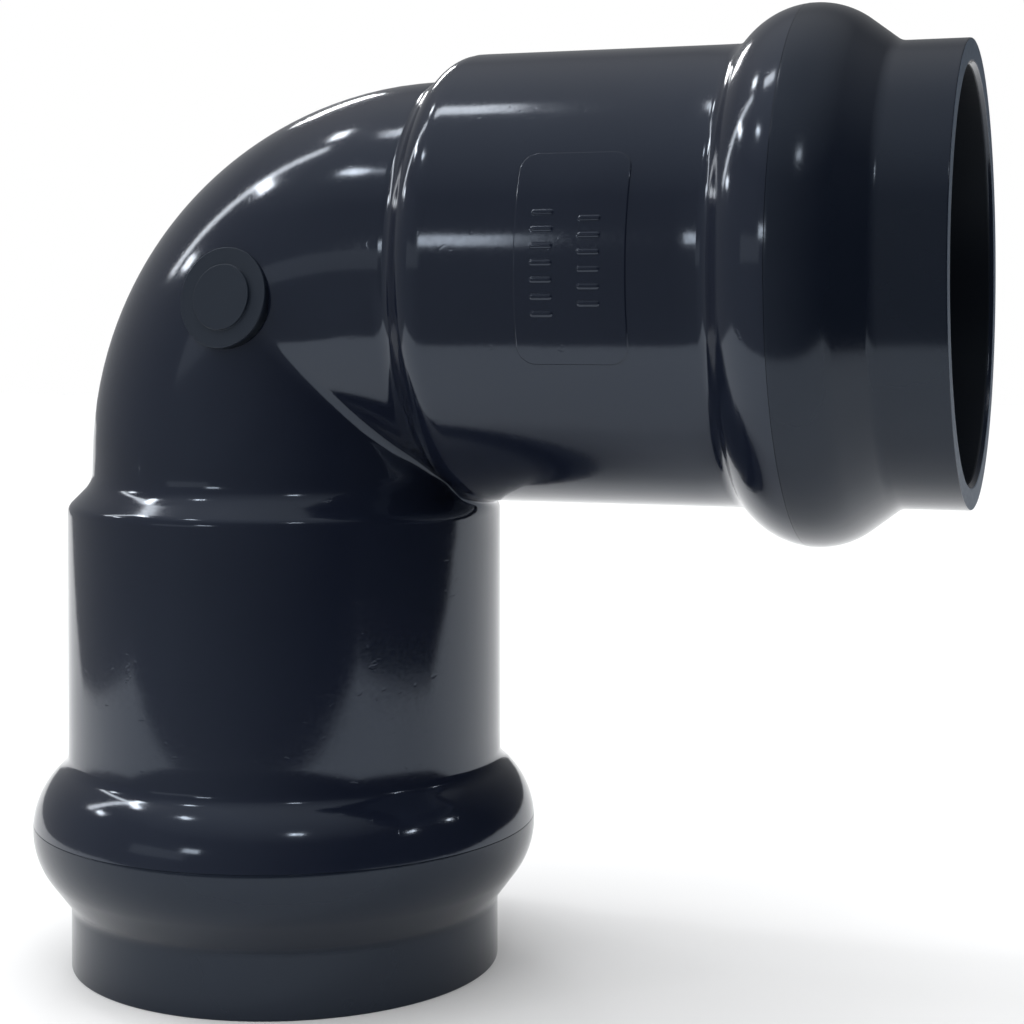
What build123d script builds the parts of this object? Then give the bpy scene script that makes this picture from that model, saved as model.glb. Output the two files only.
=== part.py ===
"""Pressure-pipe elbow, 90 degrees, with a rubber-ring push-fit socket on each leg, for 110 mm pipe.

The origin is the centre of the lower socket's mouth. +Z runs up that socket into the fitting,
and the side socket points along +X. The front, with the moulding gate and the marking panel, faces -Y.

Each leg is drawn in its own plane, where x is the radius and y is the distance from the point
where the two socket axes cross. The side leg is the lower leg mirrored in the mitre plane, apart
from its shoulder, which is nearer to the bend, and the marking panel, which only it has.
"""

import os
from math import radians, sin, sqrt

from build123d import *

os.makedirs("parts", exist_ok=True)

# Pipe and leg, mm
pipe_od = 110.0
socket_play = 0.4          # radial room around the pipe
leg_length = 199.2         # axes' crossing to the mouth face
pipe_stop = 68.5           # axes' crossing to the shoulder that stops the pipe

# Outer radii
bend_tube_r = 56.0
barrel_r = 63.2
bulge_r = 73.3
mouth_r = 62.4

# Distances from the axes' crossing, along a leg
bend_r = 52.6              # centre-line radius of the rounded outer corner
lower_shoulder_end = 66.0  # where the lower leg's 45 degree shoulder reaches its barrel
side_shoulder_end = 60.5
neck = 140.4               # where the barrel meets the seal bulge
bulge_crest = 159.0
seam = 157.0               # joint between the body and the mouth collar
collar_start = 180.8       # where the bulge's cone meets the cylindrical mouth

# Walls and small features
bend_wall = 7.0
bulge_wall = 7.0
mouth_chamfer = 1.2
stop_chamfer = 1.5
groove_end = 174.6         # mouth side of the seal groove
groove_end_r = 58.7
cone_top = 163.3           # where the groove's cone starts
cone_top_r = 65.8
neck_fillet = 2.0

# Moulding gate, on the front of the bend in the mitre plane
gate_pad_r = 13.8
gate_pad_rise = 0.1
gate_stub_r = 9.0
gate_stub_rise = 1.0
gate_beyond = 13.5         # outwards from the bend's centre line

# Marking panel, a thin raised plate on the front of the side barrel
panel_start = 91.1         # from the axes' crossing
panel_width = 29.5
panel_rise = 0.3
panel_low_angle = -21.6
panel_high_angle = 29.0
panel_corner = 5.0

# Seal's outer side, lying in the groove: radii, and distances from the axes' crossing
seal_nose_r = 56.4
seal_nose = 147.4
seal_face_r = 60.3
seal_face = 148.8
seal_shoulder_r = 63.7
seal_shoulder = 151.5
seal_bead_start_r = 65.4
seal_bead_start = 155.5
seal_bead_r = 65.7
seal_bead_end = 160.0
seal_back_r = 63.9
seal_back = 163.9

# Seal's side towards the pipe, with the lip pressed outwards by the pipe
seal_lip_r = 55.2
seal_lip = 148.5
seal_lip_back_r = 56.0
seal_lip_back = 151.0
seal_web_r = 58.5
seal_web = 154.5
seal_root_r = 60.6
seal_root = 158.0
seal_heel_r = 61.0
seal_rounding = 0.5

# Support ring, behind the seal
ring_bore_r = 56.1
ring_toe = 170.2           # where its bore begins
ring_front_r = 61.0
ring_crest_r = 63.5
ring_front = 164.3
ring_back_r = 58.2
ring_back = 174.3
ring_rounding = 0.3

bore_r = pipe_od / 2 + socket_play
waterway_r = bend_tube_r - bend_wall
shoulder_rise = barrel_r - bend_tube_r
sleeve_root = 1.0          # how far the side leg's shoulder sleeve is sunk in the wall
corner_reach = 1.5         # more than the diagonal of a mitred corner
overrun = 1.0              # how far a cut is taken past the surface it opens
beyond_tube = bend_tube_r + overrun
beyond_waterway = waterway_r + overrun

# The bulge's rounded side is one arc from the neck, through the crest, to the cone
rise = bulge_r - barrel_r
run = bulge_crest - neck
bulge_arc_r = (rise**2 + run**2) / (2 * rise)
bulge_arc_centre = bulge_r - bulge_arc_r
groove_arc_r = bulge_arc_r - bulge_wall
groove_start = bulge_crest - sqrt(groove_arc_r**2 - (bore_r - bulge_arc_centre) ** 2)

crossing = Vector(0, 0, leg_length)
front = Vector(0, -1, 0)
outwards = Vector(-1, 0, 1).normalized()
leg_plane = Plane(origin=crossing, x_dir=(1, 0, 0), z_dir=(0, 1, 0))
leg_axis = Axis(crossing, (0, 0, -1))
mitre_plane = Plane(origin=crossing, x_dir=(0, 1, 0), z_dir=(1, 0, 1))
bend_centre = Vector(bend_r, 0, leg_length - bend_r)

# The gate stands square to the rounded outer corner
gate_normal = outwards * (gate_beyond / bend_tube_r)
gate_normal += front * sqrt(1 - (gate_beyond / bend_tube_r) ** 2)
gate_point = bend_centre + outwards * bend_r + gate_normal * bend_tube_r
gate_root = bend_wall / 2
gate_plane = Plane(origin=gate_point - gate_normal * gate_root, z_dir=gate_normal)

front_plane = Plane(origin=crossing, x_dir=(1, 0, 0), z_dir=front)
side_leg_plane = Plane(origin=crossing, x_dir=(0, 1, 0), z_dir=(1, 0, 0))


def arc_radius(arc_r, distance):
    """Radius of a bulge arc at a distance from the axes' crossing."""
    return bulge_arc_centre + sqrt(arc_r**2 - (bulge_crest - distance) ** 2)


def bulge_arc(arc_r, start, end):
    """Draw the stretch of a bulge arc between two distances from the axes' crossing."""
    middle = (start + end) / 2
    return ThreePointArc(
        (arc_radius(arc_r, start), start),
        (arc_radius(arc_r, middle), middle),
        (arc_radius(arc_r, end), end),
    )


def cone_touch():
    """Point where the outer arc runs tangent into the cone down to the mouth collar."""
    across = collar_start - bulge_crest
    down = mouth_r - bulge_arc_centre
    reach = sqrt(across**2 + down**2)
    along = bulge_arc_r**2 / reach
    aside = bulge_arc_r * sqrt(reach**2 - bulge_arc_r**2) / reach
    distance = bulge_crest + (along * across - aside * down) / reach
    radius = bulge_arc_centre + (along * down + aside * across) / reach
    return radius, distance


def outer_corner(tube_r):
    """The sector to take off two mitred tubes so that a quarter torus rounds their outer corner."""
    reach = corner_reach * (bend_r + tube_r)
    with BuildPart() as corner:
        with BuildSketch(Plane.XY.offset(bend_centre.Z)):
            with Locations(((bend_r - reach) / 2, 0)):
                Rectangle(reach - bend_r, 3 * tube_r)
            Circle(tube_r, mode=Mode.SUBTRACT)
        revolve(axis=Axis(bend_centre, (0, 1, 0)), revolution_arc=90)
    return corner.part


outer_waste = outer_corner(bend_tube_r)
waterway_waste = outer_corner(waterway_r)

# Hollow of the lower leg: waterway, pipe stop, socket bore and the body's side of the seal groove
with BuildPart() as hollow:
    with BuildSketch(leg_plane):
        with BuildLine():
            Polyline(
                (0, -beyond_waterway),
                (waterway_r, -beyond_waterway),
                (waterway_r, pipe_stop - stop_chamfer),
                (waterway_r + stop_chamfer, pipe_stop),
                (bore_r, pipe_stop),
                (bore_r, groove_start),
            )
            bulge_arc(groove_arc_r, groove_start, seam)
            Polyline(
                (arc_radius(groove_arc_r, seam), seam),
                (arc_radius(groove_arc_r, seam), seam + overrun),
                (0, seam + overrun),
                (0, -beyond_waterway),
            )
        make_face()
    revolve(axis=leg_axis)
    add(waterway_waste, mode=Mode.SUBTRACT)

# Sleeve that takes a barrel on to the side leg's nearer shoulder, drawn on the lower leg
with BuildPart() as shoulder_sleeve:
    with BuildSketch(leg_plane):
        with BuildLine():
            Polyline(
                (bend_tube_r - sleeve_root, side_shoulder_end - shoulder_rise),
                (bend_tube_r, side_shoulder_end - shoulder_rise),
                (barrel_r, side_shoulder_end),
                (barrel_r, lower_shoulder_end + sleeve_root),
                (bend_tube_r - sleeve_root, lower_shoulder_end + sleeve_root),
                close=True,
            )
        make_face()
    revolve(axis=leg_axis)

# Marking panel, cut from a thin shell on the side barrel. It carries no lettering.
with BuildPart() as marking_panel:
    panel_low = barrel_r * sin(radians(panel_low_angle))
    panel_high = barrel_r * sin(radians(panel_high_angle))
    with BuildSketch(front_plane):
        with Locations((panel_start + panel_width / 2, (panel_low + panel_high) / 2)):
            RectangleRounded(panel_width, panel_high - panel_low, panel_corner)
    extrude(amount=barrel_r + panel_rise)
    with BuildSketch(side_leg_plane):
        Circle(barrel_r + panel_rise)
    extrude(amount=leg_length, mode=Mode.INTERSECT)
    with BuildSketch(side_leg_plane):
        Circle((barrel_r + bore_r) / 2)
    extrude(amount=leg_length, mode=Mode.SUBTRACT)

# The moulded elbow: bend, two barrels and the body's half of each bulge
with BuildPart() as elbow_body:
    with BuildSketch(leg_plane):
        with BuildLine():
            Polyline(
                (0, -beyond_tube),
                (bend_tube_r, -beyond_tube),
                (bend_tube_r, lower_shoulder_end - shoulder_rise),
                (barrel_r, lower_shoulder_end),
                (barrel_r, neck),
            )
            bulge_arc(bulge_arc_r, neck, seam)
            Polyline(
                (arc_radius(bulge_arc_r, seam), seam),
                (0, seam),
                (0, -beyond_tube),
            )
        make_face()
        barrel_ends = vertices().filter_by_position(Axis.X, mouth_r, barrel_r + overrun)
        fillet(barrel_ends.sort_by(Axis.Y)[-1], radius=neck_fillet)
    revolve(axis=leg_axis)
    add(outer_waste, mode=Mode.SUBTRACT)
    add(hollow.part, mode=Mode.SUBTRACT)
    split(bisect_by=mitre_plane, keep=Keep.BOTTOM)
    mirror(about=mitre_plane)
    add(mirror(shoulder_sleeve.part, about=mitre_plane, mode=Mode.PRIVATE))
    with BuildSketch(gate_plane):
        Circle(gate_pad_r)
    extrude(amount=gate_root + gate_pad_rise)
    with BuildSketch(gate_plane):
        Circle(gate_stub_r)
    extrude(amount=gate_root + gate_stub_rise)
    add(marking_panel.part)

# Mouth collar, bonded to the body at the seam once the seal is in its groove
with BuildPart() as lower_socket_collar:
    with BuildSketch(leg_plane):
        touch_r, touch = cone_touch()
        with BuildLine():
            bulge_arc(bulge_arc_r, seam, touch)
            Polyline(
                (touch_r, touch),
                (mouth_r, collar_start),
                (mouth_r, leg_length),
                (bore_r + mouth_chamfer, leg_length),
                (bore_r, leg_length - mouth_chamfer),
                (bore_r, groove_end),
                (groove_end_r, groove_end),
                (cone_top_r, cone_top),
                (arc_radius(groove_arc_r, bulge_crest), bulge_crest),
            )
            bulge_arc(groove_arc_r, bulge_crest, seam)
            Line((arc_radius(groove_arc_r, seam), seam), (arc_radius(bulge_arc_r, seam), seam))
        make_face()
    revolve(axis=leg_axis)

# Rubber lip seal, drawn as an inserted pipe holds it
with BuildPart() as lower_seal:
    with BuildSketch(leg_plane):
        with BuildLine():
            Polyline(
                (seal_lip_r, seal_lip),
                (seal_nose_r, seal_nose),
                (seal_face_r, seal_face),
                (seal_shoulder_r, seal_shoulder),
                (seal_bead_start_r, seal_bead_start),
                (seal_bead_r, seal_bead_end),
                (seal_back_r, seal_back),
                (seal_heel_r, seal_back),
                (seal_root_r, seal_root),
                (seal_web_r, seal_web),
                (seal_lip_back_r, seal_lip_back),
                close=True,
            )
        make_face()
        fillet(vertices(), radius=seal_rounding)
    revolve(axis=leg_axis)

# Stiff ring that backs the seal on the mouth side
with BuildPart() as lower_seal_support_ring:
    with BuildSketch(leg_plane):
        with BuildLine():
            Polyline(
                (ring_bore_r, ring_toe),
                (ring_front_r, ring_front),
                (ring_crest_r, ring_front),
                (ring_back_r, ring_back),
                (ring_bore_r, ring_back),
                close=True,
            )
        make_face()
        fillet(vertices(), radius=ring_rounding)
    revolve(axis=leg_axis)

# The side socket's pieces mirror the lower socket's
with BuildPart() as side_socket_collar:
    mirror(lower_socket_collar.part, about=mitre_plane)

with BuildPart() as side_seal:
    mirror(lower_seal.part, about=mitre_plane)

with BuildPart() as side_seal_support_ring:
    mirror(lower_seal_support_ring.part, about=mitre_plane)

elbow_body.part.label = "elbow_body"
lower_socket_collar.part.label = "lower_socket_collar"
lower_seal.part.label = "lower_seal"
lower_seal_support_ring.part.label = "lower_seal_support_ring"
side_socket_collar.part.label = "side_socket_collar"
side_seal.part.label = "side_seal"
side_seal_support_ring.part.label = "side_seal_support_ring"

for piece in (
    elbow_body,
    lower_socket_collar,
    lower_seal,
    lower_seal_support_ring,
    side_socket_collar,
    side_seal,
    side_seal_support_ring,
):
    export_step(piece.part, f"parts/{piece.part.label}.step")
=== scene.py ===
"""Looks of the 90 degree push-fit pressure elbow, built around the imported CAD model.

Everything is in metres, in the CAD frame. Each leg is described by the distance from the point where
the two socket axes cross and by the radius from its axis. The side leg mirrors the lower leg in the
mitre plane between them, apart from its shoulder, which is nearer to the bend.
"""

from math import acos, cos, hypot, pi, radians, sin, sqrt

import bpy
import numpy as np
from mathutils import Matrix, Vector


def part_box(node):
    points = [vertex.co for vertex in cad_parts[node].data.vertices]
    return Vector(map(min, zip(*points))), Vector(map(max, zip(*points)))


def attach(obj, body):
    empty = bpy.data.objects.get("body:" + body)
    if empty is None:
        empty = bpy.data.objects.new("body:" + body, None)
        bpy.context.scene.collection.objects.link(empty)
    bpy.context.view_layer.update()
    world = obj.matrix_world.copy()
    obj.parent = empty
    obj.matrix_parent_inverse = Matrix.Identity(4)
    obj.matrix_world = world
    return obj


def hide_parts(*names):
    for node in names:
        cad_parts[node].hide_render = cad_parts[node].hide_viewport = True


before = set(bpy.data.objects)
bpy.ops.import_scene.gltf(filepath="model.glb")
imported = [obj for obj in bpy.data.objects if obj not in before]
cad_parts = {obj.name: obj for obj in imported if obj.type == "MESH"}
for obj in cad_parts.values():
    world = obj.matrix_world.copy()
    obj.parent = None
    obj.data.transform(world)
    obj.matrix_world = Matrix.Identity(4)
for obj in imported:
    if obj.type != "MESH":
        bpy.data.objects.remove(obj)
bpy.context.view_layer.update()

MM = 0.001

# Sizes read from the CAD model's part boxes
collar_low, collar_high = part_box("lower_socket_collar")
side_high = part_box("side_socket_collar")[1]
leg_length = side_high.x
crossing_height = collar_low.z + leg_length
bulge_r = min(collar_high.x, collar_high.y, side_high.y, side_high.z - crossing_height)
seam = crossing_height - collar_high.z

# Outer shape of a leg, as in the CAD model
tube_r = 56.0 * MM
barrel_r = 63.2 * MM
mouth_r = 62.4 * MM
bend_r = 52.6 * MM
lower_shoulder_end = 66.0 * MM
side_shoulder_end = 60.5 * MM
shoulder_rise = barrel_r - tube_r
neck = 140.4 * MM
bulge_crest = 159.0 * MM
collar_start = 180.8 * MM

# Hollow of a leg
bore_r = 55.4 * MM
waterway_r = 49.0 * MM
pipe_stop = 68.5 * MM
stop_chamfer = 1.5 * MM
mouth_chamfer = 1.2 * MM
bulge_wall = 7.0 * MM
groove_end = 174.6 * MM
groove_end_r = 58.7 * MM
cone_top = 163.3 * MM
cone_top_r = 65.8 * MM

# Marking panel on the front of the side barrel, and the plain bars on it
panel_start = 91.1 * MM
panel_width = 29.5 * MM
panel_rise = 0.3 * MM
panel_low_angle = -21.6
panel_high_angle = 29.0
panel_corner = 5.0 * MM
bar_length = 5.6 * MM
bar_spacing = 4.3 * MM
bar_half_width = 0.55 * MM
bar_rise = 0.3 * MM

# Moulding gate, on the front of the bend in the mitre plane
gate_beyond = 13.5 * MM
gate_pad_r = 13.8 * MM
gate_pad_rise = 0.1 * MM
gate_stub_r = 9.0 * MM
gate_stub_rise = 1.0 * MM
gate_root = 3.0 * MM

# Roundings of edges and inner corners, most of them sharp in the CAD model
shoulder_fillet = 2.6 * MM
lower_shoulder_round = 1.2 * MM
side_shoulder_round = 3.2 * MM
neck_fillet = 2.4 * MM
crease_half_width = 1.5 * MM
crease_least = 0.1 * MM
corner_fillet = 5.9 * MM
corner_blend = 4.0 * MM
corner_blend_least = 0.02
mouth_round = 0.5 * MM
groove_round = 0.4 * MM
collar_start_round = 1.6 * MM
seam_edge = 0.22 * MM
gate_edge = 0.25 * MM

# The bulge is one arc from the neck through the crest
bulge_rise = bulge_r - barrel_r
bulge_run = bulge_crest - neck
bulge_arc_r = (bulge_rise**2 + bulge_run**2) / (2 * bulge_rise)
bulge_centre_r = bulge_r - bulge_arc_r

# Section planes of the bend turn about a line just outside the barrels' inner corner
pivot = barrel_r + 5.0 * MM
most_turn = radians(38)
turn_sharpness = 6

# How far each leg runs on past the crossing inside the other
leg_overlap = 30.0 * MM

# Fineness of the meshes
columns = 420
front_crowding = 0.35
turned_columns = 288
gate_columns = 160
panel_rows = 190
panel_columns = 350
rounding_steps = 6
halvings = 34
gradient_step = 0.02 * MM
sharp_edge = radians(50)

# Every skin lies between these distances from its section's origin
skin_nearest = 15 * MM
skin_farthest = 115 * MM


# ---------------------------------------------------------------- shape of the skins


def smooth_min(a, b, reach):
    """Lesser of two fields, with a fillet where they are within reach of each other."""
    near = np.maximum(reach - np.abs(a - b), 0) / reach
    return np.minimum(a, b) - near * near * reach / 4


def smooth_max(a, b, reach):
    """Greater of two fields, with a rounding where they are within reach of each other."""
    return -smooth_min(-a, -b, reach)


def smooth_step(value, start, end):
    """0 before start, 1 after end, and smooth between them."""
    share = np.clip((value - start) / (end - start), 0, 1)
    return share * share * (3 - 2 * share)


def leg_field(along, radius, shoulder_end, shoulder_round):
    """Below 0 inside one leg's outer skin, from inside the bend to the seam."""
    shoulder = (radius - barrel_r - (along - shoulder_end)) / sqrt(2)
    barrel = smooth_max(radius - barrel_r, shoulder, shoulder_round)
    leg = smooth_min(radius - tube_r, barrel, shoulder_fillet)
    bulge = np.hypot(radius - bulge_centre_r, along - bulge_crest) - bulge_arc_r
    return np.maximum(smooth_min(leg, bulge, neck_fillet), -along - leg_overlap)


def rounded_bend(field, points, radius):
    """The field with its outer corner cut back to a quarter torus of that tube radius."""
    x, y, z = points
    beyond = np.hypot(x - bend_r, z + bend_r) - bend_r
    swing = np.arctan2(z + bend_r, bend_r - x)
    torus = np.hypot(np.maximum(beyond, 0), y) - radius
    reach = corner_blend * np.clip(np.sin(2 * swing), corner_blend_least, 1)
    in_bend = (x < bend_r) & (z > -bend_r)
    return np.where(in_bend, smooth_max(field, torus, reach), field)


def outer_field(points):
    """Below 0 inside the elbow's outer skin. Points are measured from the axes' crossing."""
    x, y, z = points
    lower = leg_field(-z, np.hypot(x, y), lower_shoulder_end, lower_shoulder_round)
    side = leg_field(x, np.hypot(z, y), side_shoulder_end, side_shoulder_round)
    inwards = (x - z) / 2
    crease = np.maximum(2 * crease_half_width * inwards / tube_r, crease_least)
    in_corner = smooth_step(inwards, tube_r + MM, barrel_r - 2 * MM)
    reach = crease + (corner_fillet - crease) * in_corner
    return rounded_bend(smooth_min(lower, side, reach), points, tube_r)


def waterway_field(points):
    """Below 0 inside the waterway of the bend."""
    x, y, z = points
    lower = np.maximum(np.hypot(x, y) - waterway_r, z - leg_overlap)
    side = np.maximum(np.hypot(z, y) - waterway_r, -x - leg_overlap)
    return rounded_bend(smooth_min(lower, side, MM), points, waterway_r)


def ray_hit(field, origins, directions, nearest, farthest):
    """Where each ray leaves the field's inside, by halving."""
    low = np.full(origins[0].shape, nearest)
    high = np.full(origins[0].shape, farthest)
    for _ in range(halvings):
        middle = (low + high) / 2
        inside = field([o + d * middle for o, d in zip(origins, directions)]) < 0
        low = np.where(inside, middle, low)
        high = np.where(inside, high, middle)
    return [o + d * (low + high) / 2 for o, d in zip(origins, directions)]


def gradient(field, points):
    """Outward unit normals of the field's surface."""
    parts = []
    for axis in range(3):
        ahead = [p + gradient_step * (axis == i) for i, p in enumerate(points)]
        behind = [p - gradient_step * (axis == i) for i, p in enumerate(points)]
        parts.append(field(ahead) - field(behind))
    length = np.sqrt(sum(p * p for p in parts))
    return [p / length for p in parts]


def crowded_angles(count):
    """Angles round a section, closer together at the front. 0 is the elbow's inner side."""
    even = np.arange(count) * 2 * pi / count
    return even + front_crowding * np.cos(even)


def section_rays(distance, swing, angles):
    """Ray origins and directions of a row of section planes on the lower leg.

    A plane beyond the pivot lies square to the leg at that distance. Nearer ones turn by swing.
    """
    across = pivot - pivot * np.cos(swing)
    up = np.where(distance > pivot, -distance, -pivot + pivot * np.sin(swing))
    nothing = np.zeros_like(across)
    origins = [across, nothing, up]
    turned = np.cos(angles)
    directions = [turned * np.cos(swing), -np.sin(angles) + nothing, -turned * np.sin(swing)]
    return origins, directions


def skin_half(field, far_rows, near_rows, swing_rows, angles, radius_at):
    """Rows of points on the lower leg's half of a skin, from its far end to the mitre plane."""
    ring = np.ones_like(angles)
    distances = [row * ring for row in far_rows]
    swings = [0 * ring for _ in far_rows]
    innerness = smooth_step(np.cos(angles), 0.6, 0.9)
    for row in near_rows:
        radius = radius_at(row)
        radius = radius + (barrel_r - radius) * innerness
        ratio = (pivot - row) / (pivot - radius * np.cos(angles))
        turn = np.arcsin(np.minimum(ratio, 1)) + np.maximum(ratio - 1, 0)
        held_back = (1 + (turn / most_turn) ** turn_sharpness) ** (1 / turn_sharpness)
        swings.append(turn / held_back)
        distances.append(0 * ring)
    last = swings[-1]
    for share in swing_rows:
        swings.append(last + (radians(45) - last) * share)
        distances.append(0 * ring)
    origins, directions = section_rays(np.array(distances), np.array(swings), angles)
    origins = [o + 0 * directions[0] for o in origins]
    return ray_hit(field, origins, directions, skin_nearest, skin_farthest)


def mirrored(points):
    """The side leg's points for the lower leg's."""
    x, y, z = points
    return [-z, y, -x]


def outer_field_mirrored(points):
    """The outer field with the side leg in the lower leg's place."""
    return outer_field(mirrored(points))


def whole_skin(lower_half, side_half):
    """Two half skins as one run of rows from lower leg to side leg, sharing the mitre row."""
    return [np.concatenate([a, b[-2::-1]]) for a, b in zip(lower_half, mirrored(side_half))]


# ---------------------------------------------------------------- meshes


def mesh_object(name, vertices, faces, normals=None, sharp=None):
    """A smooth mesh in the CAD frame. Normals are per vertex, and 0 where Blender works them out."""
    mesh = bpy.data.meshes.new(name)
    mesh.from_pydata(vertices.tolist(), [], faces)
    mesh.validate()
    mesh.polygons.foreach_set("use_smooth", [True] * len(mesh.polygons))
    if sharp is not None:
        mesh.set_sharp_from_angle(angle=sharp)
    if normals is not None:
        mesh.normals_split_custom_set_from_vertices(normals.tolist())
    piece = bpy.data.objects.new(name, mesh)
    bpy.context.scene.collection.objects.link(piece)
    return piece


def grid_faces(rows, cols, closed_rows):
    """Faces of a grid that closes across its columns, and across its rows if asked."""
    i = np.arange(rows if closed_rows else rows - 1)[:, None]
    j = np.arange(cols)[None, :]
    following, beside = (i + 1) % rows, (j + 1) % cols
    corners = [i * cols + j, following * cols + j, following * cols + beside, i * cols + beside]
    return np.stack([c + 0 * (i + j) for c in corners], -1).reshape(-1, 4).tolist()


def rounded_profile(corners):
    """Closed profile's points from corners (radius, along, rounding), a rounding being an arc's reach."""
    points = []
    count = len(corners)
    for i, (r, s, reach) in enumerate(corners):
        here = np.array([r, s])
        if not reach:
            points.append(here)
            continue
        before = np.array(corners[i - 1][:2]) - here
        after = np.array(corners[(i + 1) % count][:2]) - here
        start = here + before / np.linalg.norm(before) * reach
        end = here + after / np.linalg.norm(after) * reach
        for t in np.linspace(0, 1, rounding_steps):
            points.append(start * (1 - t) ** 2 + here * 2 * t * (1 - t) + end * t * t)
    return np.array(points)


def profile_normals(points):
    """Normals of a closed profile, each side weighted by its length, so that flats shade flat."""
    after = np.roll(points, -1, axis=0) - points
    before = points - np.roll(points, 1, axis=0)
    along = before * np.linalg.norm(before, axis=1)[:, None]
    along = along + after * np.linalg.norm(after, axis=1)[:, None]
    along /= np.linalg.norm(along, axis=1)[:, None]
    return np.stack([along[:, 1], -along[:, 0]], -1)


def revolved(name, points, axes, origin, count=turned_columns):
    """A closed profile of (radius, along) points turned about the third of the axes."""
    u, v, w = (np.array(a, float) for a in axes)
    area = np.sum(points[:, 0] * np.roll(points[:, 1], -1) - points[:, 1] * np.roll(points[:, 0], -1))
    if area < 0:
        points = points[::-1]
    angle = np.arange(count) * 2 * pi / count
    radial = np.cos(angle)[:, None] * u + np.sin(angle)[:, None] * v
    vertices = points[:, None, :1] * radial + points[:, None, 1:] * w + np.array(origin, float)
    turned = profile_normals(points)
    normals = turned[:, None, :1] * radial + turned[:, None, 1:] * w
    faces = grid_faces(len(points), count, True)
    if np.dot(np.cross(u, v), w) > 0:
        faces = [f[::-1] for f in faces]
    return mesh_object(name, vertices.reshape(-1, 3), faces, normals.reshape(-1, 3))


LOWER_AXES = ((1, 0, 0), (0, -1, 0), (0, 0, -1))
SIDE_AXES = ((0, 0, -1), (0, -1, 0), (1, 0, 0))
CROSSING = (0, 0, crossing_height)


def outer_half(field, shoulder_end, angles):
    """The lower leg's half of the outer skin, with rows crowded at the neck and the shoulder."""
    shoulder_start = shoulder_end - shoulder_rise
    past_neck, short_of_neck = neck + 2.4 * MM, neck - 2.2 * MM
    above_edge, below_edge = shoulder_end + 1.4 * MM, shoulder_end - 2.0 * MM
    above_root, below_root = shoulder_start + 2.0 * MM, shoulder_start - 2.2 * MM
    far_rows = np.concatenate([
        np.linspace(seam, past_neck, 15)[:-1],
        np.linspace(past_neck, short_of_neck, 17)[:-1],
        np.linspace(short_of_neck, pivot, 12),
    ])
    near_rows = np.concatenate([
        np.linspace(pivot, above_edge, 4)[1:-1],
        np.linspace(above_edge, below_edge, 11)[:-1],
        np.linspace(below_edge, above_root, 3)[:-1],
        np.linspace(above_root, below_root, 10),
    ])
    swing_rows = 1 - (1 - np.linspace(0, 1, 27)[1:]) ** 1.8

    def skin_radius(distance):
        return float(tube_r + np.clip(distance - shoulder_start, 0, shoulder_rise))

    return skin_half(field, far_rows, near_rows, swing_rows, angles, skin_radius)


def waterway_half(angles):
    """The lower leg's half of the waterway, from the pipe stop's chamfer to the mitre plane."""
    rows = [pipe_stop - stop_chamfer]
    swing_rows = np.linspace(0, 1, 12)[1:]
    return skin_half(waterway_field, [], rows, swing_rows, angles, lambda _: waterway_r)


def socket_rows(angles):
    """Rows of points down the lower socket: the body's side of the groove, the bore and the pipe stop."""
    groove_r = bulge_arc_r - bulge_wall
    groove_start = bulge_crest - sqrt(groove_r**2 - (bore_r - bulge_centre_r) ** 2)
    profile = []
    for distance in np.linspace(seam, groove_start, 8):
        radius = bulge_centre_r + sqrt(groove_r**2 - (bulge_crest - distance) ** 2)
        profile.append((radius, distance))
    profile.append((bore_r, (groove_start + pipe_stop) / 2))
    profile.append((bore_r, pipe_stop))
    profile.append((waterway_r + stop_chamfer, pipe_stop))
    rings = [
        [radius * np.cos(angles), -radius * np.sin(angles), -distance + 0 * angles]
        for radius, distance in profile
    ]
    return [np.array(p) for p in zip(*rings)]


def elbow_shell(skin_material, inside_shade_material):
    """The moulded elbow body: outer skin, seam faces, grooves, bores, pipe stops and waterway."""
    angles = crowded_angles(columns)
    outer = whole_skin(
        outer_half(outer_field, lower_shoulder_end, angles),
        outer_half(outer_field_mirrored, side_shoulder_end, angles),
    )
    inner_half = waterway_half(angles)
    inner = whole_skin(inner_half, inner_half)
    lower_socket = socket_rows(angles)
    side_socket = [p[::-1] for p in mirrored(lower_socket)]
    inside = [np.concatenate([a, b, c]) for a, b, c in zip(lower_socket, inner, side_socket)]
    skin = np.stack([np.concatenate([o, i[::-1]]) for o, i in zip(outer, inside)], -1)
    rows = skin.shape[0]
    outer_normals = np.stack(gradient(outer_field, outer), -1)
    outer_rows = outer_normals.shape[0]
    normals = np.zeros_like(skin)
    normals[:outer_rows] = outer_normals
    vertices = skin.reshape(-1, 3) + np.array(CROSSING)
    faces = grid_faces(rows, columns, True)
    shell = mesh_object("elbow_body_moulded", vertices, faces, normals.reshape(-1, 3), sharp_edge)
    # The inside faces take the second material, which paints the shade inside the sockets and the waterway.
    shaded_inside_faces = np.repeat(np.arange(rows) >= outer_rows, columns)
    shell.data.materials.append(skin_material)
    shell.data.materials.append(inside_shade_material)
    shell.data.polygons.foreach_set("material_index", shaded_inside_faces.astype(int))
    return shell


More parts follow.
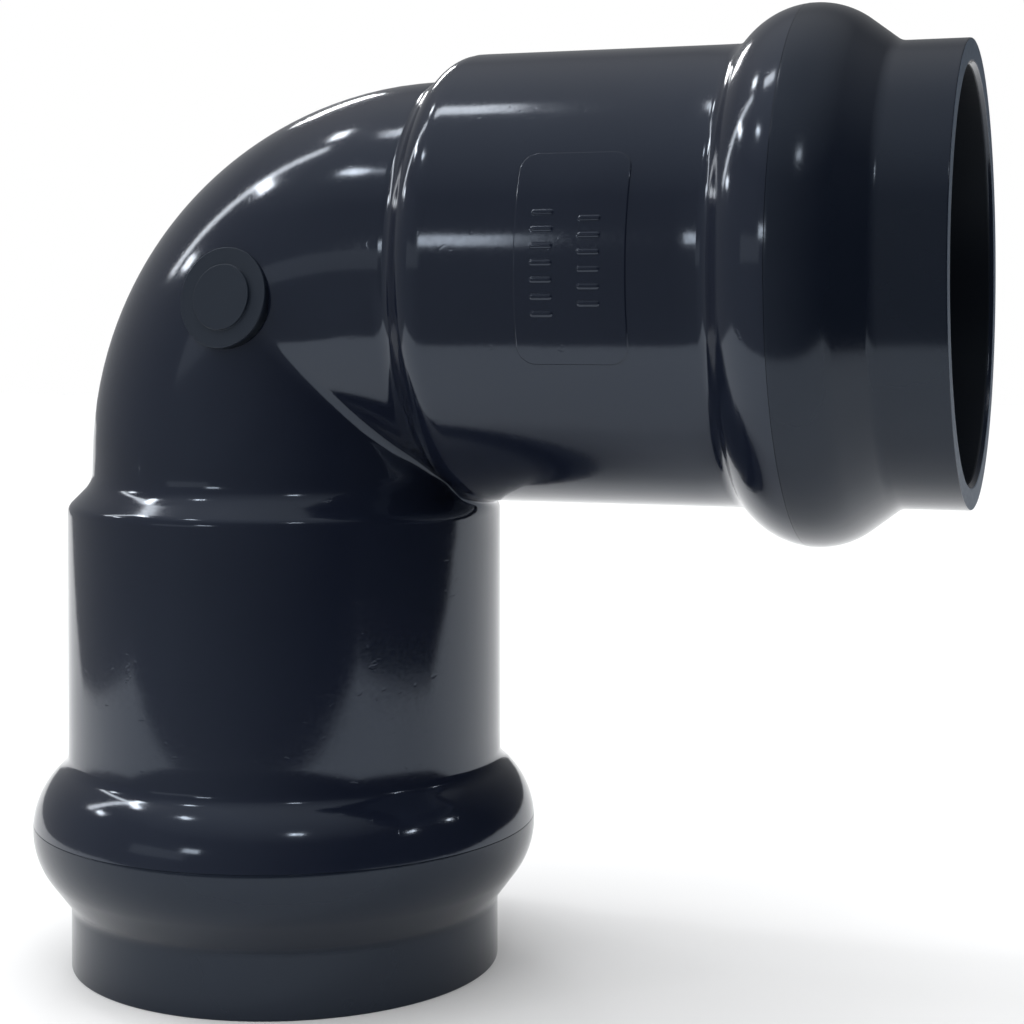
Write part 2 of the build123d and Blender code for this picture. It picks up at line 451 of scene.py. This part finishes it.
def collar_profile():
    """Mouth collar's section: seam edge, rest of the bulge, cone, plain end, mouth and groove."""
    across = collar_start - bulge_crest
    down = mouth_r - bulge_centre_r
    start = np.arccos((seam - bulge_crest) / bulge_arc_r)
    end = np.arctan2(down, across) + acos(bulge_arc_r / hypot(across, down))
    outer = [
        (bulge_centre_r + bulge_arc_r * sin(t), bulge_crest + bulge_arc_r * cos(t), 0)
        for t in np.linspace(start, end, 16)
    ]
    eased = 0.02 * MM
    outer[0] = (outer[0][0] - seam_edge, outer[0][1], 0)
    outer.insert(1, (outer[1][0] - eased, seam + seam_edge, 0))
    groove_r = bulge_arc_r - bulge_wall
    start_r = bulge_centre_r + sqrt(groove_r**2 - (seam - bulge_crest) ** 2)
    plain = [
        (mouth_r, collar_start, collar_start_round),
        (mouth_r, leg_length, mouth_round),
        (bore_r + mouth_chamfer, leg_length, mouth_round),
        (bore_r, leg_length - mouth_chamfer, mouth_round),
        (bore_r, groove_end, groove_round),
        (groove_end_r, groove_end, groove_round),
        (cone_top_r, cone_top, groove_round),
        (bulge_centre_r + groove_r, bulge_crest, 0),
        (start_r, seam, 0),
    ]
    return rounded_profile(outer + plain)


def seal_profile():
    """Rubber seal with its lip free, as it is with no pipe in the socket."""
    corners = [
        (51.0, 145.4, 0.35),
        (52.6, 145.0, 0.5),
        (60.4, 148.8, 1.0),
        (63.7, 151.6, 0.8),
        (65.4, 155.5, 0.8),
        (65.7, 160.0, 0.8),
        (63.9, 163.9, 0.6),
        (61.0, 163.9, 0.6),
        (60.6, 158.0, 1.2),
        (58.2, 153.6, 1.4),
    ]
    return rounded_profile([(r * MM, s * MM, k * MM) for r, s, k in corners])


def support_ring_profile():
    """Stiff ring that backs the seal, with its edges eased."""
    corners = [
        (56.1, 170.2, 0.4),
        (61.0, 164.3, 0.4),
        (63.5, 164.3, 0.4),
        (58.2, 174.3, 0.4),
        (56.1, 174.3, 0.4),
    ]
    return rounded_profile([(r * MM, s * MM, k * MM) for r, s, k in corners])


def gate_axes():
    """Centre of the moulding gate on the rounded bend, and its axes with the normal last."""
    outwards = Vector((-1, 0, 1)).normalized()
    lean = gate_beyond / tube_r
    normal = outwards * lean + Vector((0, -1, 0)) * sqrt(1 - lean**2)
    bend_centre = Vector((bend_r, 0, crossing_height - bend_r))
    centre = bend_centre + outwards * bend_r + normal * tube_r
    along = Vector((1, 0, 1)).normalized()
    return centre, (along, normal.cross(along), normal)


def gate_mark():
    """Flat pad and trimmed stub that the moulding gate leaves on the bend."""
    middle_r = 0.05 * MM
    flat_from = 0.08 * MM
    corners = [
        (middle_r, gate_stub_rise, 0),
        (flat_from, gate_stub_rise, 0),
        (gate_stub_r, gate_stub_rise, gate_edge),
        (gate_stub_r, gate_pad_rise, gate_edge),
        (gate_pad_r, gate_pad_rise, gate_edge),
        (gate_pad_r, -gate_root, 0),
        (middle_r, -gate_root, 0),
    ]
    centre, axes = gate_axes()
    return revolved("moulding_gate", rounded_profile(corners), axes, centre, gate_columns)


def rounded_box_distance(x, y, half_x, half_y, corner):
    """Distance outside a rectangle with rounded corners, centred on 0."""
    across = np.abs(x) - half_x + corner
    up = np.abs(y) - half_y + corner
    beyond = np.hypot(np.maximum(across, 0), np.maximum(up, 0))
    return beyond + np.minimum(np.maximum(across, up), 0) - corner


def marking_bars(along, arc):
    """Height of two columns of plain bars on the marking panel. They carry no lettering."""
    first_column, second_column = 7.4 * MM, 19.8 * MM
    soft_from, soft_to = -0.25 * MM, 0.2 * MM
    height = np.zeros_like(along)
    for column, lowest, count in ((first_column, -10.4 * MM, 7), (second_column, -7.8 * MM, 6)):
        for i in range(count):
            outside = rounded_box_distance(
                along - panel_start - column,
                arc - lowest - i * bar_spacing,
                bar_length / 2,
                bar_half_width,
                bar_half_width * 0.9,
            )
            share = 1 - smooth_step(outside, soft_from, soft_to)
            height = np.maximum(height, bar_rise * share)
    return height


def panel_patch():
    """The marking panel on the side barrel, with its border sunk in the barrel and a root behind it."""
    border = 0.5 * MM
    sunk = 0.08 * MM
    root_depth = 6.0 * MM
    soft_from, soft_to = -0.24 * MM, 0.06 * MM
    low = barrel_r * radians(panel_low_angle)
    high = barrel_r * radians(panel_high_angle)
    along_rows = np.linspace(panel_start - border, panel_start + panel_width + border, panel_rows)
    arc_rows = np.linspace(low - border, high + border, panel_columns)
    along, arc = np.meshgrid(along_rows, arc_rows, indexing="ij")
    middle, mid_arc = panel_start + panel_width / 2, (low + high) / 2
    outside = rounded_box_distance(
        along - middle, arc - mid_arc, panel_width / 2, (high - low) / 2, panel_corner
    )
    share = 1 - smooth_step(outside, soft_from, soft_to)
    plate = (panel_rise + sunk) * share - sunk
    radius = barrel_r + plate + marking_bars(along, arc)
    angle = arc / barrel_r
    vertices = np.stack([along, -radius * np.cos(angle), radius * np.sin(angle)], -1)
    mid_angle = mid_arc / barrel_r
    root_r = barrel_r - root_depth
    root = [middle, -root_r * cos(mid_angle), root_r * sin(mid_angle)]
    vertices = np.concatenate([vertices.reshape(-1, 3), [root]]) + np.array(CROSSING)
    indices = np.arange(panel_rows * panel_columns).reshape(panel_rows, panel_columns)
    corners = [indices[:-1, :-1], indices[1:, :-1], indices[1:, 1:], indices[:-1, 1:]]
    faces = np.stack(corners, -1).reshape(-1, 4).tolist()
    edges = [indices[0], indices[1:, -1], indices[-1, -2::-1], indices[-2:0:-1, 0]]
    loop = np.concatenate(edges).tolist()
    faces += [[a, b, indices.size] for a, b in zip(loop, loop[1:] + loop[:1])]
    return mesh_object("marking_panel", vertices, faces)


# ---------------------------------------------------------------- materials


def node(tree, kind, **inputs):
    """Add a node and set its unlinked inputs by name."""
    made = tree.nodes.new(kind)
    for key, value in inputs.items():
        made.inputs[key.replace("_", " ")].default_value = value
    return made


def noise(tree, place, scale, detail=4.0, roughness=0.55):
    """Noise factor at a scale per metre."""
    made = node(tree, "ShaderNodeTexNoise", Scale=scale, Detail=detail, Roughness=roughness)
    tree.links.new(place, made.inputs["Vector"])
    return made.outputs["Fac"]


def ranged(tree, value, low, high, new_low, new_high):
    """Map a value from one range to another, clamped."""
    made = node(tree, "ShaderNodeMapRange")
    for socket, number in zip(("From Min", "From Max", "To Min", "To Max"), (low, high, new_low, new_high)):
        made.inputs[socket].default_value = number
    tree.links.new(value, made.inputs["Value"])
    return made.outputs["Result"]


def blended(tree, factor, first, second):
    """Mix two colours by a factor."""
    made = tree.nodes.new("ShaderNodeMix")
    made.data_type = "RGBA"
    tree.links.new(factor, made.inputs[0])
    for socket, colour in ((made.inputs[6], first), (made.inputs[7], second)):
        if isinstance(colour, tuple):
            socket.default_value = (*colour, 1)
        else:
            tree.links.new(colour, socket)
    return made.outputs[2]


def bumped(tree, height, strength, distance, normal=None):
    """Bump normal from a height."""
    made = node(tree, "ShaderNodeBump", Strength=strength, Distance=distance)
    tree.links.new(height, made.inputs["Height"])
    if normal:
        tree.links.new(normal, made.inputs["Normal"])
    return made.outputs["Normal"]


def surface(name, dark, light, roughness, grain, specular):
    """Moulded plastic or rubber: clouded colour, uneven gloss, fine pits and a slight ripple."""
    cloud_scale, ripple_scale, pit_scale, fine_scale = 22.0, 55.0, 420.0, 900.0
    ripple_height, pit_depth, fine_height = 0.5 * MM, 0.02 * MM, 0.01 * MM
    ripple_strength = 0.12
    material = bpy.data.materials.new(name)
    material.use_nodes = True
    tree = material.node_tree
    shader = tree.nodes["Principled BSDF"]
    place = tree.nodes.new("ShaderNodeTexCoord").outputs["Object"]
    cloud = noise(tree, place, cloud_scale)
    fine = noise(tree, place, fine_scale, 3.0)
    pits = noise(tree, place, pit_scale, 2.0, 0.4)
    ripple = noise(tree, place, ripple_scale, 1.0)
    tint = ranged(tree, cloud, 0.3, 0.7, 0.0, 1.0)
    tree.links.new(blended(tree, tint, dark, light), shader.inputs["Base Color"])
    gloss = ranged(tree, fine, 0.3, 0.7, *roughness)
    tree.links.new(gloss, shader.inputs["Roughness"])
    hollow = ranged(tree, pits, 0.28, 0.34, 0.0, 1.0)
    bump = bumped(tree, ripple, ripple_strength, ripple_height)
    bump = bumped(tree, hollow, grain, pit_depth, bump)
    bump = bumped(tree, fine, grain, fine_height, bump)
    tree.links.new(bump, shader.inputs["Normal"])
    shader.inputs["IOR"].default_value = 1.53
    shader.inputs["Specular IOR Level"].default_value = specular
    # The blue specular tint paints the room's bluish light into every reflection.
    shader.inputs["Specular Tint"].default_value = (0.74, 0.85, 1.0, 1)
    return material


def gloss_pvc():
    """Glossy dark blue-grey plastic of the moulded body."""
    dark, light = (0.0065, 0.0088, 0.0175), (0.0082, 0.0110, 0.0208)
    return surface("gloss_pvc", dark, light, roughness=(0.08, 0.13), grain=0.3, specular=0.54)


def satin_pvc():
    """The same plastic on the mouth collars, a little less glossy."""
    dark, light = (0.0055, 0.0080, 0.0145), (0.0070, 0.0098, 0.0175)
    return surface("satin_pvc", dark, light, roughness=(0.12, 0.18), grain=0.2, specular=0.38)


def gate_pvc():
    """Duller plastic where the moulding gate was trimmed."""
    dark, light = (0.006, 0.009, 0.016), (0.009, 0.013, 0.021)
    return surface("gate_pvc", dark, light, roughness=(0.34, 0.46), grain=0.4, specular=0.48)


def cut_pvc():
    """Paler matte plastic of a cut mouth face."""
    dark, light = (0.048, 0.068, 0.098), (0.062, 0.084, 0.118)
    return surface("cut_pvc", dark, light, roughness=(0.50, 0.62), grain=0.4, specular=0.5)


def bore_pvc_painted_shade():
    """Dark plastic inside the sockets and the waterway: the body's plastic with painted shade, made darker
    to stand for the shade inside them.
    """
    dark, light = (0.0016, 0.0024, 0.0042), (0.0022, 0.0032, 0.0056)
    return surface("bore_pvc_painted_shade", dark, light, roughness=(0.40, 0.52), grain=0.3, specular=0.25)


def black_rubber():
    """Matte black rubber of the seals."""
    dark, light = (0.012, 0.012, 0.013), (0.018, 0.018, 0.020)
    return surface("seal_rubber", dark, light, roughness=(0.50, 0.66), grain=0.6, specular=0.5)


def ring_polypropylene():
    """Dark grey plastic of the support rings."""
    dark, light = (0.018, 0.019, 0.021), (0.025, 0.026, 0.029)
    return surface("ring_polypropylene", dark, light, roughness=(0.40, 0.50), grain=0.4, specular=0.5)


# ---------------------------------------------------------------- the fitting


def collar_faces(collar, axes, mouth_material, inside_shade_material):
    """Give the cut mouth face and the inside of a collar their own materials, the inside one darker as
    painted shade.
    """
    collar.data.materials.append(mouth_material)
    collar.data.materials.append(inside_shade_material)
    mouth_slot, inside_shade_slot = 1, 2
    slack = 0.1 * MM
    along_axis = Vector(axes[2])
    for face in collar.data.polygons:
        place = face.center - Vector(CROSSING)
        along = place.dot(along_axis)
        outwards = place - along_axis * along
        in_bore = outwards.length < bore_r + mouth_chamfer and along < leg_length - mouth_chamfer
        in_groove = face.normal.dot(outwards) < 0 and along < groove_end + slack
        if along > leg_length - slack:
            face.material_index = mouth_slot
        elif in_bore or in_groove:
            face.material_index = inside_shade_slot


body_plastic = gloss_pvc()
collar_plastic = satin_pvc()
gate_plastic = gate_pvc()
cut_plastic = cut_pvc()
# Darker plastic that paints the shade inside the sockets and the waterway.
inside_shade_plastic = bore_pvc_painted_shade()
seal_rubber = black_rubber()
ring_plastic = ring_polypropylene()

elbow = elbow_shell(body_plastic, inside_shade_plastic)
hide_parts("elbow_body")
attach(elbow, "root")

gate = gate_mark()
gate.data.materials.append(gate_plastic)
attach(gate, "root")

panel = panel_patch()
panel.data.materials.append(body_plastic)
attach(panel, "root")

SOCKET_PARTS = (
    ("socket_collar", collar_profile, collar_plastic, "socket_collar"),
    ("seal", seal_profile, seal_rubber, "seal_rubber"),
    ("seal_support_ring", support_ring_profile, ring_plastic, "support_ring"),
)
for leg, axes in (("lower", LOWER_AXES), ("side", SIDE_AXES)):
    for part, profile, material, slot in SOCKET_PARTS:
        piece = revolved(f"{leg}_{part}_shaped", profile(), axes, CROSSING)
        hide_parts(f"{leg}_{part}")
        piece.data.materials.append(material)
        if part == "socket_collar":
            collar_faces(piece, axes, cut_plastic, inside_shade_plastic)
        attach(piece, "root")


# ---------------------------------------------------------------- stage, light and camera


def pale_surface():
    """Plain pale matte paper of the table top."""
    material = bpy.data.materials.new("pale_paper")
    material.use_nodes = True
    tree = material.node_tree
    shader = tree.nodes["Principled BSDF"]
    place = tree.nodes.new("ShaderNodeTexCoord").outputs["Object"]
    tone = blended(tree, noise(tree, place, 6.0), (0.86, 0.86, 0.86), (0.88, 0.88, 0.88))
    tree.links.new(tone, shader.inputs["Base Color"])
    shader.inputs["Roughness"].default_value = 0.9
    return material


def table_top():
    """Pale table that ends in front of the object and widens behind it."""
    front, flare_start, back = -0.32, 0.1, 4.0
    middle, half_width, flare = 0.02, 0.53, 0.9
    line = [(middle, front, half_width), (middle, flare_start, half_width)]
    line.append((middle, back, half_width + flare * back))
    vertices = np.array([(x + side * w, y, 0.0) for x, y, w in line for side in (-1, 1)])
    faces = [(2 * i, 2 * i + 1, 2 * i + 3, 2 * i + 2) for i in range(len(line) - 1)]
    table = mesh_object("table_top", vertices, faces)
    table.data.materials.append(pale_surface())


def bearing(azimuth, elevation):
    """Unit vector towards a lamp. Azimuth 0 is in front of the object and 90 is at its right."""
    a, e = radians(azimuth), radians(elevation)
    return Vector((sin(a) * cos(e), -cos(a) * cos(e), sin(e)))


def softbox(name, azimuth, elevation, width, height, radiance):
    """A rectangular area light of that radiance, aimed at the object's middle from a bearing."""
    middle = Vector((0.06, 0, 0.14))
    away = bearing(azimuth, elevation) * 1.7
    light = bpy.data.lights.new(name, "AREA")
    light.shape = "RECTANGLE"
    light.size, light.size_y = width, height
    light.energy = radiance * pi * width * height
    lamp = bpy.data.objects.new(name, light)
    lamp.location = middle + away
    lamp.rotation_euler = (-away).to_track_quat("-Z", "Y").to_euler()
    bpy.context.scene.collection.objects.link(lamp)


def room():
    """Room lighter at the left and overhead, dark at the right, and pale where the camera sees it."""
    world = bpy.data.worlds.new("room")
    world.use_nodes = True
    bpy.context.scene.world = world
    tree = world.node_tree
    dim = tree.nodes["Background"]
    place = tree.nodes.new("ShaderNodeTexCoord").outputs["Generated"]
    split = tree.nodes.new("ShaderNodeSeparateXYZ")
    tree.links.new(place, split.inputs[0])
    leftwards = ranged(tree, split.outputs["X"], 0.75, -0.6, 0.01, 0.34)
    above = ranged(tree, split.outputs["Z"], 0.60, 0.95, 0.0, 0.40)
    total = tree.nodes.new("ShaderNodeMath")
    total.operation = "ADD"
    tree.links.new(leftwards, total.inputs[0])
    tree.links.new(above, total.inputs[1])
    dim.inputs["Color"].default_value = (0.95, 0.97, 1.0, 1)
    tree.links.new(total.outputs[0], dim.inputs["Strength"])
    pale = node(tree, "ShaderNodeBackground", Color=(1, 1, 1, 1), Strength=1.0)
    seen = tree.nodes.new("ShaderNodeLightPath").outputs["Is Camera Ray"]
    choice = tree.nodes.new("ShaderNodeMixShader")
    tree.links.new(seen, choice.inputs[0])
    tree.links.new(dim.outputs[0], choice.inputs[1])
    tree.links.new(pale.outputs[0], choice.inputs[2])
    tree.links.new(choice.outputs[0], tree.nodes["World Output"].inputs["Surface"])


def overhead_fill():
    """Very wide, even light from above that leaves no highlight."""
    light = bpy.data.lights.new("overhead_fill", "SUN")
    light.energy = 2.9
    light.angle = radians(150)
    lamp = bpy.data.objects.new("overhead_fill", light)
    lamp.rotation_euler = (-bearing(-60, 80)).to_track_quat("-Z", "Y").to_euler()
    lamp.visible_glossy = False
    bpy.context.scene.collection.objects.link(lamp)


def studio():
    """Even fill overhead, and small bright boxes round the object for its highlights.

    Each box has its azimuth and elevation in degrees, its width and height, and its radiance.
    """
    overhead_fill()
    boxes = (
        ("left_strip", -92, 40, 0.11, 1.00, 8),
        ("left_high", -86, 44, 0.24, 0.09, 26),
        ("left_low", -84, 27, 0.14, 0.08, 20),
        ("front_left_panel", -36, 11, 0.80, 0.30, 0.35),
        ("front_left_window", -21, 18, 0.20, 0.14, 8),
        ("upper_left", -52, 54, 0.14, 0.08, 20),
        ("front_right_high", 27, 47, 0.14, 0.07, 22),
        ("right", 87, 29, 0.12, 0.06, 20),
        ("right_back", 112, 27, 0.08, 0.06, 18),
        ("top_left", -92, 70, 0.16, 0.24, 9),
        ("upper_left_back", -106, 57, 0.14, 0.10, 20),
        ("back_left", -146, 30, 0.26, 0.14, 14),
    )
    for box in boxes:
        softbox(*box)


def front_camera():
    """Level camera, close to the object, with the view moved down instead of tilted."""
    distance = 0.5954
    target = Vector((0.0702, 0, crossing_height - 0.0220))
    back = bearing(18.17, 1.0)
    data = bpy.data.cameras.new("camera")
    data.sensor_width = 36.0
    data.lens = 73.55
    data.shift_y = -0.1531
    camera = bpy.data.objects.new("camera", data)
    camera.location = target + back * distance
    camera.rotation_mode = "QUATERNION"
    camera.rotation_quaternion = (-back).to_track_quat("-Z", "Y")
    bpy.context.scene.collection.objects.link(camera)
    bpy.context.scene.camera = camera


table_top()
room()
studio()
front_camera()
bpy.context.scene.view_settings.view_transform = "Standard"

bpy.context.view_layer.update()
